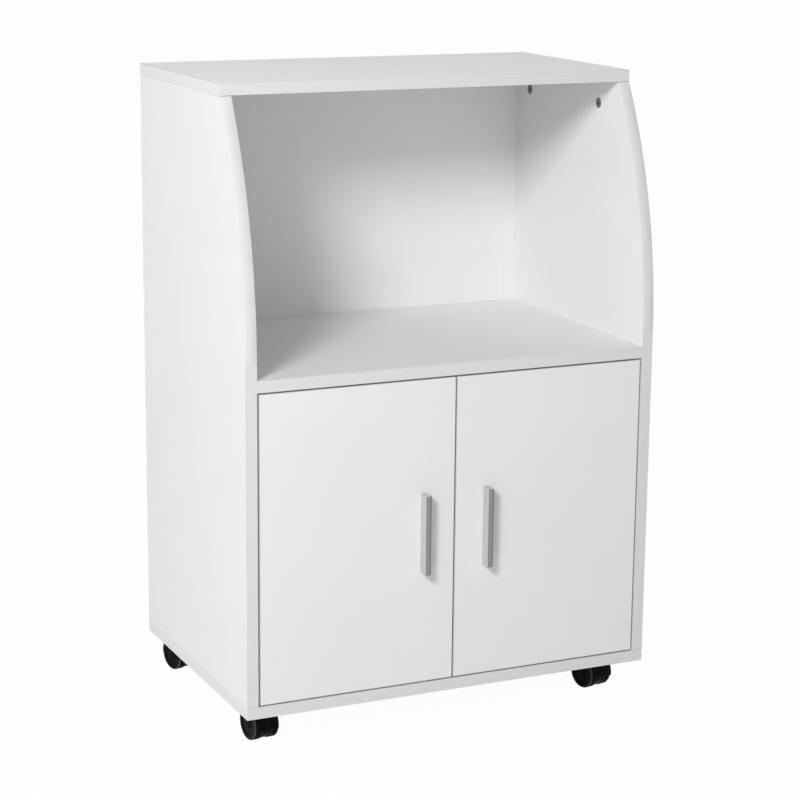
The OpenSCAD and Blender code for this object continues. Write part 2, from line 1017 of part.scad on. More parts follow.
caster_wheel(-1, 0, -1);  // front_left_outer_wheel
caster_wheel(-1, 0, 1);  // front_left_inner_wheel
caster_wheel(1, 0, 1);  // front_right_outer_wheel
caster_wheel(1, 0, -1);  // front_right_inner_wheel
caster_wheel(-1, 1, -1);  // rear_left_outer_wheel
caster_wheel(-1, 1, 1);  // rear_left_inner_wheel
caster_wheel(1, 1, 1);  // rear_right_outer_wheel
caster_wheel(1, 1, -1);  // rear_right_inner_wheel
caster_screws();
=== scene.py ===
"""Looks of the microwave cart: faced boards, handles, fittings, casters and the studio round it."""

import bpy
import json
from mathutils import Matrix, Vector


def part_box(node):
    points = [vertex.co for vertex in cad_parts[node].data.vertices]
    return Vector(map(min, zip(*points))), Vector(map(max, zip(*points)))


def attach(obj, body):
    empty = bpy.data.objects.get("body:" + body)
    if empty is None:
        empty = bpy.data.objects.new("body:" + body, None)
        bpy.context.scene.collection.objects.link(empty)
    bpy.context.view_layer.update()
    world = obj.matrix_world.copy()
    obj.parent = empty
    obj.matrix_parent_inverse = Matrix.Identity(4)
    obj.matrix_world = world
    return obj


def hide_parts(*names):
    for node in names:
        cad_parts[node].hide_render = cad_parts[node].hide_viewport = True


bl_info = {
    "name": "Microwave Cart",
    "version": (1, 0, 0),
    "blender": (4, 5, 0),
    "location": "View3D > Sidebar > Cart",
    "description": "Dresses a board cart with an open bay, two doors and four twin-wheel casters",
    "category": "Object",
}

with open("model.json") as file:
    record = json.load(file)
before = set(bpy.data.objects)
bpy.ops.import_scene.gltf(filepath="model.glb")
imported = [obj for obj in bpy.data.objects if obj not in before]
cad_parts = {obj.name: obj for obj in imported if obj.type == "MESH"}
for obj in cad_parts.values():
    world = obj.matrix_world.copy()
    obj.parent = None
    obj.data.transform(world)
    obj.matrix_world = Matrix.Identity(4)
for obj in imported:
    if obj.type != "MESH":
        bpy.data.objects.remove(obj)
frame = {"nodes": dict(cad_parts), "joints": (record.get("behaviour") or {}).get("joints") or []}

import json
import math

import bmesh
import bpy
from bpy.props import FloatProperty, FloatVectorProperty, IntProperty, PointerProperty
from mathutils import Color, Matrix, Vector

NODES = frame["nodes"]
JOINTS = {joint["name"]: joint for joint in frame["joints"]}
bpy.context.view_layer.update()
MM = 0.001
SIDES = ("left", "right")
LEVELS = ("upper", "lower")
CORNERS = ("front_left", "front_right", "rear_left", "rear_right")
# The axis across each board's thickness and the one along its grain
BOARDS = {
    "top_panel": ("z", "x"),
    "left_side_panel": ("x", "z"),
    "right_side_panel": ("x", "z"),
    "bottom_panel": ("z", "x"),
    "middle_shelf": ("z", "x"),
    "left_door": ("y", "z"),
    "right_door": ("y", "z"),
}
# Share of a normal along an axis above which a face counts as looking that way
SQUARE_ON = 0.7
# Angle between two faces above which the edge between them is rounded
SHARP_EDGE = math.radians(35)
# How plainly each mark shows on a board, from 0 to 1
PORE_SHARE = 0.35
CLOUD_SHARE = 0.16
SEAM_SHARE = 0.7
# The side panels' top and base joint lines, and their spill onto the facing, are painted shadow
TOP_JOINT_SHADOW = 0.85
BASE_JOINT_SHADOW = 0.3
JOINT_SHADOW_ON_FACING = 0.22
TRIM_ON_FRONT = 0.2
TRIM_ON_ENDS = 0.75
# Height of the handles' crowned front
HANDLE_CROWN = 1.6 * MM
# How far a handle's brush marks go below and above its painted light and shade tones
BRUSH_CONTRAST = 0.12
# Sines of the angle off the door's normal between which a handle's painted light and shade blend into each
# other
MIDDLE_TO_SLOPE = (0.25, 0.6)
SLOPE_TO_SIDE = (0.74, 0.86)
# Brightness of a fitting's duller plating
DULL_PLATING = 0.72
# Scale of the fine marks on the hinges', the catch's and the casters' screws
SCREW_GRAIN = (1200.0, 1200.0, 1200.0)
# A wheel's radii and depths, from its bore out to its rounded rim, and the radii of its small edges
WHEEL_BORE = 2.55 * MM
WHEEL_BORE_DEPTH = 9.9 * MM
WHEEL_HUB = 8 * MM
WHEEL_RIM = 4 * MM
WHEEL_HOLLOW = 4 * MM
WHEEL_ROUND = 2.5 * MM
WHEEL_FACE = 16.5 * MM
WHEEL_DISH = 1 * MM
WHEEL_CAP = 7 * MM
WHEEL_DIMPLE = 2.6 * MM
WHEEL_DIMPLE_DEPTH = 0.5 * MM
WHEEL_CHAMFER = 0.3 * MM
WHEEL_EDGE = 0.6 * MM
WHEEL_SOFT = 0.45 * MM
# Angle between two faces above which a wheel's smooth shading breaks
WHEEL_CREASE = math.radians(38)
# Depths below a wheel's radius between which its tread begins
TREAD_BLEND = (1.2 * MM, 0.1 * MM)
# Shares of the normal along the axle between which a wheel's painted shoulder highlight begins and ends
SHOULDER_START = (0.06, 0.22)
SHOULDER_END = (0.94, 0.995)
# The spot that the key lamp is turned to, and the sides that the soft sky comes from
KEY_TARGET = Vector((0.0, -0.1, 0.5))
FROM_LEFT = (-1.0, 0.0, 0.0)
FROM_FRONT = (0.0, -1.0, 0.0)
FROM_REAR_RIGHT = (0.7071, 0.7071, 0.0)
FLOOR_PAPER = (0.86, 0.86, 0.86, 1.0)
WHITE = (1.0, 1.0, 1.0, 1.0)
SENSOR_WIDTH = 36.0


# ---- sizes and colours ----


class CartBoardLooks(bpy.types.PropertyGroup):
    edge_round: FloatProperty(
        name="Edge Rounding", description="Radius of the boards' banded edges",
        default=0.8 * MM, min=0.1 * MM, max=2 * MM, precision=5, unit="LENGTH")
    band_thickness: FloatProperty(
        name="Edge Band", description="Thickness of the band glued to the boards' edges",
        default=0.8 * MM, min=0.3 * MM, max=2 * MM, precision=5, unit="LENGTH")
    seam_width: FloatProperty(
        name="Glue Line", description="Width of the line between the facing and the edge band",
        default=0.12 * MM, min=0.02 * MM, max=0.5 * MM, precision=6, unit="LENGTH")
    emboss_depth: FloatProperty(
        name="Emboss Depth", description="Depth of the pores pressed into the facing",
        default=0.05 * MM, min=0.0, max=0.3 * MM, precision=6, unit="LENGTH")
    facing_colour: FloatVectorProperty(
        name="Facing", description="Colour of the white facing",
        default=(0.855, 0.855, 0.85), min=0.0, max=1.0, subtype="COLOR")
    pore_colour: FloatVectorProperty(
        name="Pores", description="Colour in the pressed pores of the facing",
        default=(0.76, 0.76, 0.75), min=0.0, max=1.0, subtype="COLOR")
    band_colour: FloatVectorProperty(
        name="Band", description="Colour of the edge band",
        default=(0.74, 0.74, 0.735), min=0.0, max=1.0, subtype="COLOR")
    end_colour: FloatVectorProperty(
        name="Ends", description="Colour of the band on the top and bottom panel's left and right ends",
        default=(0.79, 0.79, 0.785), min=0.0, max=1.0, subtype="COLOR")
    joint_width: FloatProperty(
        name="Joint Line", description="Width of the line where a side panel ends and of the trim line",
        default=1.2 * MM, min=0.0, max=2 * MM, precision=5, unit="LENGTH")
    # The dark joint line is a painted shadow where a side panel meets the top and bottom panels
    joint_shadow_colour: FloatVectorProperty(
        name="Joint Colour", description="Colour of the dark line where a side panel ends",
        default=(0.34, 0.335, 0.32), min=0.0, max=1.0, subtype="COLOR")
    seam_colour: FloatVectorProperty(
        name="Line Colour", description="Colour of the glue line beside the edge band",
        default=(0.52, 0.51, 0.49), min=0.0, max=1.0, subtype="COLOR")
    backing_colour: FloatVectorProperty(
        name="Back Panel", description="Colour of the lacquered back panel",
        default=(0.88, 0.88, 0.875), min=0.0, max=1.0, subtype="COLOR")


class CartMetalLooks(bpy.types.PropertyGroup):
    handle_round: FloatProperty(
        name="Handle Edge Rounding", description="Radius of the handles' edges",
        default=0.5 * MM, min=0.1 * MM, max=1.5 * MM, precision=5, unit="LENGTH")
    crown_points: IntProperty(
        name="Crown Points", description="Points across the crowned front of a handle",
        default=13, min=5, max=41)
    # The handles' three colours are painted light and shade: paler sides and ends as painted light, a
    # darker front middle and darkest slopes as painted shade
    handle_sides_painted_light: FloatVectorProperty(
        name="Handle Sides", description="Colour of the handles' satin silver sides and ends",
        default=(0.53, 0.53, 0.535), min=0.0, max=1.0, subtype="COLOR")
    handle_front_painted_shade: FloatVectorProperty(
        name="Handle Front", description="Colour along the middle of the handles' brushed front",
        default=(0.29, 0.29, 0.295), min=0.0, max=1.0, subtype="COLOR")
    handle_slopes_painted_shade: FloatVectorProperty(
        name="Handle Slopes", description="Colour of the front's darker slopes beside its middle",
        default=(0.205, 0.205, 0.21), min=0.0, max=1.0, subtype="COLOR")
    nickel_colour: FloatVectorProperty(
        name="Nickel", description="Colour of the nickel-plated hinges and plates",
        default=(0.56, 0.55, 0.53), min=0.0, max=1.0, subtype="COLOR")
    steel_colour: FloatVectorProperty(
        name="Steel", description="Colour of the pins, bolts and axles",
        default=(0.46, 0.46, 0.47), min=0.0, max=1.0, subtype="COLOR")
    screw_colour: FloatVectorProperty(
        name="Screws", description="Colour of the zinc-plated screws",
        default=(0.50, 0.50, 0.48), min=0.0, max=1.0, subtype="COLOR")
    zinc_colour: FloatVectorProperty(
        name="Cam Locks", description="Colour of the die-cast cam locks",
        default=(0.30, 0.30, 0.31), min=0.0, max=1.0, subtype="COLOR")
    press_round: FloatProperty(
        name="Fitting Edge Rounding", description="Radius of the fittings' pressed edges",
        default=0.2 * MM, min=0.05 * MM, max=0.6 * MM, precision=5, unit="LENGTH")


class CartCasterLooks(bpy.types.PropertyGroup):
    plastic_colour: FloatVectorProperty(
        name="Hoods", description="Colour of the black moulded hoods",
        default=(0.005, 0.005, 0.0051), min=0.0, max=1.0, subtype="COLOR")
    wheel_colour: FloatVectorProperty(
        name="Wheels", description="Colour of the black wheels",
        default=(0.005, 0.005, 0.0052), min=0.0, max=1.0, subtype="COLOR")
    dust_colour: FloatVectorProperty(
        name="Dust", description="Colour of the dust on the treads",
        default=(0.016, 0.0156, 0.0148), min=0.0, max=1.0, subtype="COLOR")
    # The pale shoulder colour is a painted highlight along the wheels' rounded shoulders
    shoulder_highlight_colour: FloatVectorProperty(
        name="Shoulders", description="Colour of the wheels' rubbed shoulders",
        default=(0.095, 0.094, 0.091), min=0.0, max=1.0, subtype="COLOR")
    hood_round: FloatProperty(
        name="Hood Edge Rounding", description="Radius of the hoods' moulded edges",
        default=0.5 * MM, min=0.1 * MM, max=1.5 * MM, precision=5, unit="LENGTH")
    wheel_steps: IntProperty(
        name="Wheel Steps", description="Steps round a wheel",
        default=96, min=24, max=256)


class CartStudioLooks(bpy.types.PropertyGroup):
    camera_place: FloatVectorProperty(
        name="Camera Place", description="Where the camera stands",
        default=(-1.3172, -2.8473, 1.1551), unit="LENGTH", precision=4)
    camera_yaw: FloatProperty(
        name="Camera Yaw", description="Turn of the view to the cart's right",
        default=math.radians(24.922), subtype="ANGLE")
    camera_pitch: FloatProperty(
        name="Camera Pitch", description="Angle at which the camera looks down",
        default=math.radians(13.228), subtype="ANGLE")
    camera_roll: FloatProperty(
        name="Camera Roll", description="Turn of the camera round its view",
        default=math.radians(0.554), subtype="ANGLE")
    camera_lens: FloatProperty(
        name="Lens", description="Focal length on a sensor 36 mm wide",
        default=103.02, min=20.0, max=300.0, unit="CAMERA")
    key_azimuth: FloatProperty(
        name="Key Azimuth", description="Angle of the key lamp to the left of the doors' normal",
        default=math.radians(46.0), subtype="ANGLE")
    key_height: FloatProperty(
        name="Key Height", description="Angle of the key lamp above the floor",
        default=math.radians(29.0), subtype="ANGLE")
    key_distance: FloatProperty(
        name="Key Distance", description="Distance of the key lamp from the cart",
        default=3.0, min=0.8, max=20.0, unit="LENGTH")
    key_width: FloatProperty(
        name="Key Width", description="Diameter of the key lamp's round soft front",
        default=0.74, min=0.05, max=4.0, unit="LENGTH")
    key_level: FloatProperty(
        name="Key Level", description="Brightness that the key lamp alone gives a white face turned to it",
        default=0.63, min=0.0, max=3.0)
    left_level: FloatProperty(
        name="Left Level", description="Brightness of the soft light from the left, fading to the right",
        default=0.68, min=0.0, max=3.0)
    front_level: FloatProperty(
        name="Front Level", description="Brightness of the soft light from the doors' side",
        default=0.17, min=0.0, max=3.0)
    rear_level: FloatProperty(
        name="Rear Level", description="Brightness of the soft light from behind on the right",
        default=0.90, min=0.0, max=3.0)
    floor_size: FloatProperty(
        name="Floor Size", description="Side of the studio floor",
        default=80.0, min=5.0, max=200.0, unit="LENGTH")
    floor_glow: FloatProperty(
        name="Floor White", description="Share of plain white in how the floor shows",
        default=0.97, min=0.0, max=1.0, subtype="FACTOR")


# ---- mesh helpers ----


def object_from(name, bm, place=Matrix.Identity(4)):
    """A linked object that holds a finished bmesh."""
    bmesh.ops.recalc_face_normals(bm, faces=bm.faces)
    mesh = bpy.data.meshes.new(name)
    bm.to_mesh(mesh)
    bm.free()
    piece = bpy.data.objects.new(name, mesh)
    piece.matrix_world = place
    bpy.context.scene.collection.objects.link(piece)
    return piece


def round_edges(piece, radius, segments=2, weld=True):
    """Rounds a piece's sharp edges with a bevel; a carried-over node is welded first."""
    if weld:
        join = piece.modifiers.new("Join", "WELD")
        join.merge_threshold = 1e-6
    bevel = piece.modifiers.new("Round", "BEVEL")
    bevel.width = radius
    bevel.segments = segments
    bevel.limit_method = "ANGLE"
    bevel.angle_limit = SHARP_EDGE
    bevel.harden_normals = True
    bevel.use_clamp_overlap = True
    bevel.miter_outer = "MITER_ARC"


def shade_smooth(piece, angle):
    """Smooth shading, broken at edges sharper than the angle."""
    piece.data.shade_smooth()
    piece.data.set_sharp_from_angle(angle=angle)


def give(piece, material):
    """The material as the piece's only one."""
    piece.data.materials.clear()
    piece.data.materials.append(material)


def prism(name, section, low, high):
    """A closed bar: a section in x and y, drawn up in z."""
    bm = bmesh.new()
    rings = [[bm.verts.new((x, y, z)) for x, y in section] for z in (low, high)]
    count = len(section)
    for i in range(count):
        j = (i + 1) % count
        bm.faces.new((rings[0][i], rings[0][j], rings[1][j], rings[1][i]))
    bm.faces.new(list(reversed(rings[0])))
    bm.faces.new(rings[1])
    return object_from(name, bm)


def lathe(name, profile, steps, place):
    """A closed turned solid round its own X axis; the profile holds (radius, x) and ends on the axis."""
    bm = bmesh.new()
    rings = []
    for radius, x in profile:
        if radius <= 0:
            rings.append([bm.verts.new((x, 0, 0))])
            continue
        ring = []
        for i in range(steps):
            turn = 2 * math.pi * i / steps
            ring.append(bm.verts.new((x, radius * math.cos(turn), radius * math.sin(turn))))
        rings.append(ring)
    for one, two in zip(rings, rings[1:]):
        for i in range(steps):
            j = (i + 1) % steps
            if len(one) == 1:
                bm.faces.new((one[0], two[i], two[j]))
            elif len(two) == 1:
                bm.faces.new((one[i], two[0], one[j]))
            else:
                bm.faces.new((one[i], two[i], two[j], one[j]))
    return object_from(name, bm, place)


def arc(centre, radius, start, end, count):
    """Points on an arc in the profile plane, from one angle to another in degrees."""
    points = []
    for i in range(count + 1):
        turn = math.radians(start + (end - start) * i / count)
        points.append((centre[0] + radius * math.cos(turn), centre[1] + radius * math.sin(turn)))
    return points


# ---- material helpers ----


class Surface:
    """A node tree that ends in one principled shader, with short names for its nodes."""

    def __init__(self, name, **fixed):
        self.material = bpy.data.materials.new(name)
        self.material.use_nodes = True
        self.tree = self.material.node_tree
        self.tree.nodes.clear()
        out = self.tree.nodes.new("ShaderNodeOutputMaterial")
        self.shader = self.tree.nodes.new("ShaderNodeBsdfPrincipled")
        self.tree.links.new(self.shader.outputs[0], out.inputs["Surface"])
        for socket, value in fixed.items():
            self.shader.inputs[socket.replace("_", " ")].default_value = value
        place = self.tree.nodes.new("ShaderNodeTexCoord")
        self.place, self.facing = place.outputs["Object"], place.outputs["Normal"]

    def put(self, target, value):
        """Links a socket, or writes a plain number or colour into it."""
        if isinstance(value, bpy.types.NodeSocket):
            self.tree.links.new(value, target)
        elif isinstance(value, (tuple, Color)):
            target.default_value = (*value, 1.0)
        else:
            target.default_value = value

    def math(self, kind, one, two=0.0):
        """The result of one sum on two numbers."""
        node = self.tree.nodes.new("ShaderNodeMath")
        node.operation = kind
        self.put(node.inputs[0], one)
        self.put(node.inputs[1], two)
        return node.outputs[0]

    def stretched(self, scale):
        """The piece's own place, stretched by axis."""
        node = self.tree.nodes.new("ShaderNodeMapping")
        self.put(node.inputs["Vector"], self.place)
        node.inputs["Scale"].default_value = scale
        return node.outputs[0]

    def noise(self, scale, detail=3.0, roughness=0.55, stretch=None):
        """Soft noise from 0 to 1, with a scale in spots a metre."""
        node = self.tree.nodes.new("ShaderNodeTexNoise")
        self.put(node.inputs["Vector"], self.stretched(stretch) if stretch else self.place)
        node.inputs["Scale"].default_value = scale
        node.inputs["Detail"].default_value = detail
        node.inputs["Roughness"].default_value = roughness
        return node.outputs["Fac"]

    def ranged(self, value, low, high, to_low, to_high):
        """A value carried from one range to another, and held inside it."""
        node = self.tree.nodes.new("ShaderNodeMapRange")
        for socket, number in zip(node.inputs, (value, low, high, to_low, to_high)):
            self.put(socket, number)
        return node.outputs[0]

    def mixed(self, share, one, two):
        """A colour between two others."""
        node = self.tree.nodes.new("ShaderNodeMix")
        node.data_type = "RGBA"
        self.put(node.inputs["Factor"], share)
        self.put(node.inputs[6], one)
        self.put(node.inputs[7], two)
        return node.outputs[2]

    def axis(self, letter, source=None):
        """One axis of a vector, which is the piece's own place if none is given."""
        node = self.tree.nodes.new("ShaderNodeSeparateXYZ")
        self.put(node.inputs[0], source or self.place)
        return node.outputs["xyz".index(letter)]

    def squarely(self, letter):
        """1 where the surface looks along an axis, either way, else 0."""
        return self.math("GREATER_THAN", self.math("ABSOLUTE", self.axis(letter, self.facing)), SQUARE_ON)

    def colour(self, value):
        """Sets the surface's colour."""
        self.put(self.shader.inputs["Base Color"], value)

    def rough(self, value):
        """Sets the surface's roughness."""
        self.put(self.shader.inputs["Roughness"], value)

    def bump(self, height, depth, strength):
        """Relief of a depth in metres."""
        node = self.tree.nodes.new("ShaderNodeBump")
        node.inputs["Strength"].default_value = strength
        node.inputs["Distance"].default_value = depth
        self.put(node.inputs["Height"], height)
        self.put(self.shader.inputs["Normal"], node.outputs[0])


def edge_distance(surface, letter, low, high):
    """How far a point lies inside the nearer of a board's two ends along an axis."""
    value = surface.axis(letter)
    return surface.math("MINIMUM", surface.math("SUBTRACT", value, low[letter]),
                        surface.math("SUBTRACT", high[letter], value))


def grain_stretch(grain, along, across):
    """Stretch of a texture along the grain and across it."""
    return tuple(along if letter == grain else across for letter in "xyz")


def faced_board(node, looks):
    """White facing with faint pressed pores, and an edge band with its glue line."""
    across, grain = BOARDS[node]
    lowest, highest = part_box(node)
    low = dict(zip("xyz", lowest))
    high = dict(zip("xyz", highest))
    surface = Surface("Facing_" + node, IOR=1.5, Specular_IOR_Level=0.4)
    pores = surface.noise(1.0, 4.0, 0.6, grain_stretch(grain, 70.0, 1500.0))
    pores = surface.ranged(pores, 0.55, 0.75, 0.0, 1.0)
    cloud = surface.ranged(surface.noise(9.0, 4.0, 0.6), 0.35, 0.65, 0.0, CLOUD_SHARE)
    pressed = surface.math("MAXIMUM", surface.math("MULTIPLY", pores, PORE_SHARE), cloud)
    facing = surface.mixed(pressed, looks.facing_colour, looks.pore_colour)
    # The broad faces look along the board's thickness; the other faces are banded
    flat = surface.squarely(across)
    band = surface.mixed(cloud, looks.band_colour, looks.pore_colour)
    height = surface.axis("z")
    under_top = surface.math("LESS_THAN", surface.math("SUBTRACT", high["z"], height), looks.joint_width)
    if across == "x":
        # The side panels end in a painted shadow line at the top panel and a fainter painted shadow line at
        # the bottom panel, which also reaches faintly onto their facing
        over_base = surface.math("LESS_THAN", surface.math("SUBTRACT", height, low["z"]), looks.joint_width)
        joint = surface.math("MAXIMUM", surface.math("MULTIPLY", under_top, TOP_JOINT_SHADOW),
                             surface.math("MULTIPLY", over_base, BASE_JOINT_SHADOW))
        band = surface.mixed(joint, band, looks.joint_shadow_colour)
        facing = surface.mixed(surface.math("MULTIPLY", joint, JOINT_SHADOW_ON_FACING), facing, looks.joint_shadow_colour)
    if across == "z":
        ends = surface.squarely("x")
        band = surface.mixed(ends, band, looks.end_colour)
    if node == "top_panel":
        # The trimmed upper corner of its band shows as a thin line, plainest on the ends
        plainness = surface.ranged(ends, 0.0, 1.0, TRIM_ON_FRONT, TRIM_ON_ENDS)
        band = surface.mixed(surface.math("MULTIPLY", under_top, plainness), band, looks.seam_colour)
    colour = surface.mixed(flat, band, facing)
    seam = None
    for letter in "xyz":
        if letter == across:
            continue
        off = surface.math("SUBTRACT", edge_distance(surface, letter, low, high), looks.band_thickness)
        line = surface.math("LESS_THAN", surface.math("ABSOLUTE", off), looks.seam_width / 2)
        seam = line if seam is None else surface.math("MAXIMUM", seam, line)
    seam = surface.math("MULTIPLY", surface.math("MULTIPLY", seam, flat), SEAM_SHARE)
    surface.colour(surface.mixed(seam, colour, looks.seam_colour))
    surface.rough(surface.ranged(surface.noise(260.0, 2.0), 0.3, 0.7, 0.40, 0.52))
    relief = surface.math("SUBTRACT", surface.math("MULTIPLY", surface.noise(900.0, 2.0), 0.35), pores)
    surface.bump(relief, looks.emboss_depth, 0.6)
    return surface.material


def lacquered_backing(looks):
    """White lacquer on hardboard: faint roller marks up the panel and fine specks."""
    surface = Surface("Backing", IOR=1.5, Specular_IOR_Level=0.4)
    marks = surface.noise(1.0, 3.0, 0.5, (700.0, 700.0, 14.0))
    specks = surface.ranged(surface.noise(1400.0, 1.0), 0.68, 0.76, 0.0, 0.3)
    shade = surface.math("MAXIMUM", surface.ranged(marks, 0.3, 0.7, 0.0, 0.18), specks)
    surface.colour(surface.mixed(shade, looks.backing_colour, looks.pore_colour))
    surface.rough(surface.ranged(marks, 0.3, 0.7, 0.36, 0.48))
    surface.bump(marks, 0.04 * MM, 0.5)
    return surface.material


def satin_silver(looks):
    """Silver handle lacquer with painted light and shade: paler sides and ends, a darker brushed front and
    darkest slopes, by how each face turns.
    """
    surface = Surface("Satin_silver", Metallic=0.1, IOR=1.5, Specular_IOR_Level=0.15)
    brush = surface.noise(1.0, 4.0, 0.65, (5200.0, 5200.0, 60.0))
    cloud = surface.noise(60.0, 3.0)
    share = surface.math("ADD", surface.math("MULTIPLY", brush, 0.7), surface.math("MULTIPLY", cloud, 0.3))
    shades = []
    for colour in (looks.handle_front_painted_shade, looks.handle_slopes_painted_shade, looks.handle_sides_painted_light):
        dull = tuple(part * (1 - BRUSH_CONTRAST) for part in colour)
        pale = tuple(min(1.0, part * (1 + BRUSH_CONTRAST)) for part in colour)
        shades.append(surface.mixed(share, dull, pale))
    middle, slopes, sides = shades
    # The crown turns up to 44 degrees away from the door's normal, the sides and ends 90; by that turn the
    # sides and ends get painted light, the front's middle and slopes painted shade
    off_front = surface.math("MAXIMUM", surface.math("ABSOLUTE", surface.axis("x", surface.facing)),
                             surface.math("ABSOLUTE", surface.axis("z", surface.facing)))
    front = surface.mixed(surface.ranged(off_front, *MIDDLE_TO_SLOPE, 0.0, 1.0), middle, slopes)
    surface.colour(surface.mixed(surface.ranged(off_front, *SLOPE_TO_SIDE, 0.0, 1.0), front, sides))
    surface.rough(surface.ranged(brush, 0.3, 0.7, 0.34, 0.50))
    surface.bump(brush, 0.02 * MM, 0.5)
    return surface.material


def plated(name, colour, roughness, grain):
    """Plated or bright steel: fine draw marks and faint dull patches."""
    surface = Surface(name, Metallic=1.0)
    marks = surface.noise(1.0, 3.0, 0.6, grain)
    patches = surface.ranged(surface.noise(140.0, 4.0, 0.6), 0.4, 0.7, 0.0, 0.5)
    dull = tuple(part * DULL_PLATING for part in colour)
    surface.colour(surface.mixed(patches, colour, dull))
    wear = surface.math("ADD", surface.math("MULTIPLY", marks, 0.16),
                        surface.math("MULTIPLY", patches, 0.12))
    surface.rough(surface.math("ADD", wear, roughness - 0.1))
    surface.bump(marks, 0.015 * MM, 0.5)
    return surface.material


def cast_zinc(looks):
    """Die-cast zinc: a sandy skin with darker pits."""
    surface = Surface("Cast_zinc", Metallic=0.9)
    sand = surface.noise(2600.0, 3.0, 0.7)
    pits = surface.ranged(surface.noise(900.0, 2.0), 0.55, 0.7, 0.0, 0.6)
    dark = tuple(part * 0.45 for part in looks.zinc_colour)
    surface.colour(surface.mixed(pits, looks.zinc_colour, dark))
    surface.rough(surface.ranged(sand, 0.3, 0.7, 0.42, 0.62))
    surface.bump(sand, 0.04 * MM, 0.6)
    return surface.material


def beech():
    """Raw beech: rays and soft growth lines along the dowel."""
    surface = Surface("Beech", Roughness=0.72)
    rays = surface.ranged(surface.noise(1.0, 4.0, 0.6, (350.0, 2400.0, 2400.0)), 0.35, 0.7, 0.0, 1.0)
    surface.colour(surface.mixed(rays, (0.58, 0.39, 0.22), (0.42, 0.25, 0.13)))
    surface.bump(rays, 0.08 * MM, 0.5)
    return surface.material


def moulded_plastic(name, colour, dust, roughness):
    """Black moulded plastic: fine spark texture, flow marks and a haze of dust."""
    surface = Surface(name, IOR=1.48, Specular_IOR_Level=0.03)
    spark = surface.noise(3200.0, 2.0, 0.6)
    flow = surface.noise(70.0, 4.0, 0.6)
    share = surface.ranged(flow, 0.35, 0.75, 0.0, 0.25)
    surface.colour(surface.mixed(share, colour, dust))
    surface.rough(surface.math("ADD", surface.math("MULTIPLY", flow, 0.18), roughness - 0.09))
    surface.bump(spark, 0.03 * MM, 0.5)
    return surface.material


def worn_wheel(looks, tread_radius):
    """Wheel plastic: smooth sides, a scuffed tread that holds dust, and a painted highlight along the
    rounded shoulder.
    """
    surface = Surface("Wheel_plastic", IOR=1.48, Specular_IOR_Level=0.02)
    squares = [surface.math("POWER", surface.axis(letter), 2.0) for letter in "yz"]
    around = surface.math("SQRT", surface.math("ADD", squares[0], squares[1]))
    tread_start, tread_end = (tread_radius - depth for depth in TREAD_BLEND)
    tread = surface.ranged(around, tread_start, tread_end, 0.0, 1.0)
    scuffs = surface.ranged(surface.noise(420.0, 5.0, 0.7, (0.35, 1.0, 1.0)), 0.42, 0.68, 0.0, 1.0)
    haze = surface.ranged(surface.noise(90.0, 3.0), 0.4, 0.7, 0.0, 0.22)
    scuffed_tread = surface.math("MULTIPLY", surface.math("MULTIPLY", tread, scuffs), 0.5)
    dust = surface.math("MAXIMUM", scuffed_tread, haze)
    body = surface.mixed(dust, looks.wheel_colour, looks.dust_colour)
    # The rounded shoulder gets a pale painted highlight: near the rim, and turned neither along the axle
    # nor straight out, faded by the scuffs
    slope = surface.math("ABSOLUTE", surface.axis("x", surface.facing))
    highlit = surface.math("MULTIPLY", surface.ranged(slope, *SHOULDER_START, 0.0, 1.0),
                          surface.ranged(slope, *SHOULDER_END, 1.0, 0.0))
    near_rim = surface.math("GREATER_THAN", around, tread_radius - WHEEL_ROUND)
    highlit = surface.math("MULTIPLY", highlit, near_rim)
    highlit = surface.math("MULTIPLY", highlit, surface.ranged(scuffs, 0.0, 1.0, 0.7, 1.0))
    surface.colour(surface.mixed(highlit, body, looks.shoulder_highlight_colour))
    surface.rough(surface.ranged(surface.math("MAXIMUM", tread, haze), 0.0, 1.0, 0.34, 0.58))
    surface.bump(surface.noise(2400.0, 3.0, 0.6), 0.03 * MM, 0.5)
    return surface.material


def sintered_magnet():
    """Grey sintered magnet with a grainy face."""
    surface = Surface("Sintered_magnet", Metallic=0.3)
    grit = surface.noise(2200.0, 3.0, 0.7)
    surface.colour(surface.mixed(grit, (0.07, 0.07, 0.075), (0.14, 0.14, 0.145)))
    surface.rough(surface.ranged(grit, 0.3, 0.7, 0.5, 0.7))
    surface.bump(grit, 0.05 * MM, 0.6)
    return surface.material


def white_moulding(looks):
    """White moulded plastic of the catch."""
    surface = Surface("Catch_plastic", IOR=1.48)
    flow = surface.noise(120.0, 4.0, 0.6)
    share = surface.ranged(flow, 0.35, 0.7, 0.0, 0.3)
    surface.colour(surface.mixed(share, looks.facing_colour, looks.pore_colour))
    surface.rough(surface.ranged(flow, 0.3, 0.7, 0.38, 0.5))
    surface.bump(surface.noise(3000.0, 2.0), 0.03 * MM, 0.5)
    return surface.material


# ---- pieces ----


class CART_OT_boards(bpy.types.Operator):
    """Face the boards and the back panel"""

    bl_idname = "cart.boards"
    bl_label = "Boards"
    bl_options = {"REGISTER", "UNDO"}

    def execute(self, context):
        looks = context.scene.cart_boards
        for node in BOARDS:
            board = NODES[node]
            give(board, faced_board(node, looks))
            round_edges(board, looks.edge_round)
        give(NODES["back_panel"], lacquered_backing(looks))
        return {"FINISHED"}


def handle_section(low, high, points):
    """Outline of a handle: a bar with a crowned front, from its box in x and y."""
    half = (high.x - low.x) / 2
    middle = (low.x + high.x) / 2
    radius = (half * half + HANDLE_CROWN * HANDLE_CROWN) / (2 * HANDLE_CROWN)
    front = []
    for i in range(points):
        x = -half + 2 * half * i / (points - 1)
        front.append((middle + x, low.y + radius - math.sqrt(radius * radius - x * x)))
    return front + [(high.x, high.y), (low.x, high.y)]


